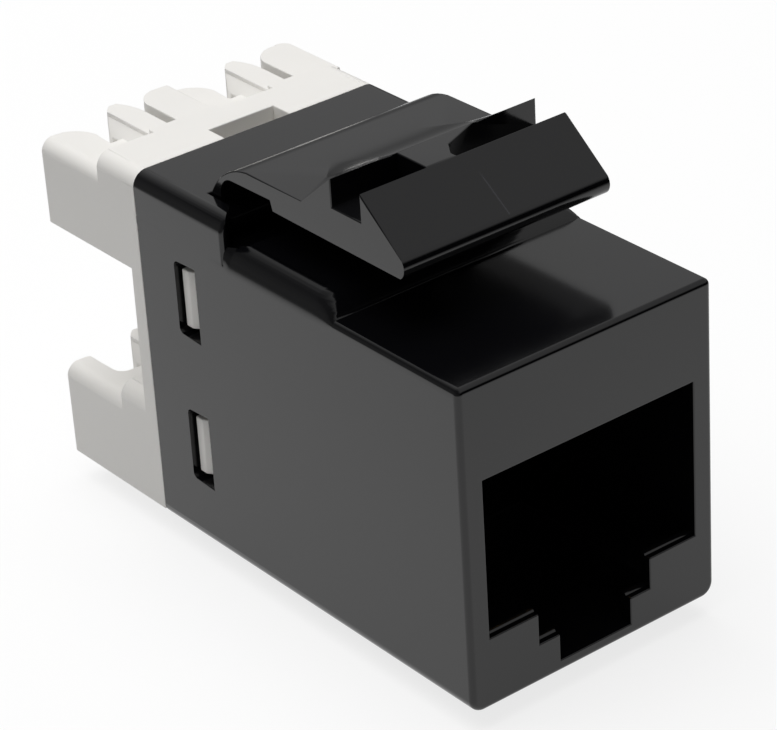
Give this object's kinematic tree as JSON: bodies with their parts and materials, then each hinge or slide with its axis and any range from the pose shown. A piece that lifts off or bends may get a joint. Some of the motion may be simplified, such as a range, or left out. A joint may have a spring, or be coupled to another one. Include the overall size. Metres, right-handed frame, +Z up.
{
  "type": "keystone jack",
  "caption": "Keystone jack: a snap-in modular socket with a sprung top latch and rows of punch-down wire terminals at the rear.",
  "frame": {"origin": "centre of the bounding box in plan, at the level of the catch under the housing", "axes": "+X across the jack, to the right when its plug opening is faced; +Y from the front face back to the wire terminals; +Z up, towards the latch arm"},
  "size_m": [0.0144, 0.031, 0.0235],
  "materials": {
    "housing_plastic": "satin moulded",
    "block_plastic": "satin moulded",
    "carrier_plastic": "satin moulded",
    "board_laminate": "solder mask",
    "contact_gold": "plated",
    "blade_metal": "tin plated"
  },
  "bodies": {
    "jack": {"housing": "housing_plastic", "terminal_block": "block_plastic", "contact_carrier": "carrier_plastic", "circuit_board": "board_laminate", "contact_1": "contact_gold", "contact_2": "contact_gold", "contact_3": "contact_gold", "contact_4": "contact_gold", "contact_5": "contact_gold", "contact_6": "contact_gold", "contact_7": "contact_gold", "contact_8": "contact_gold", "blade_1": "blade_metal", "blade_2": "blade_metal", "blade_3": "blade_metal", "blade_4": "blade_metal", "blade_5": "blade_metal", "blade_6": "blade_metal", "blade_7": "blade_metal", "blade_8": "blade_metal"},
    "latch": {"latch_arm": "housing_plastic"}
  },
  "joints": [
    {"name": "latch_flex", "type": "hinge", "parent": "jack", "child": "latch", "pos_m": [0, 0.00275, 0.0185], "axis": [1, 0, 0], "range_deg": [0, 11], "stiffness_Nm_per_rad": 0.2, "springref_deg": -1.72}
  ]
}
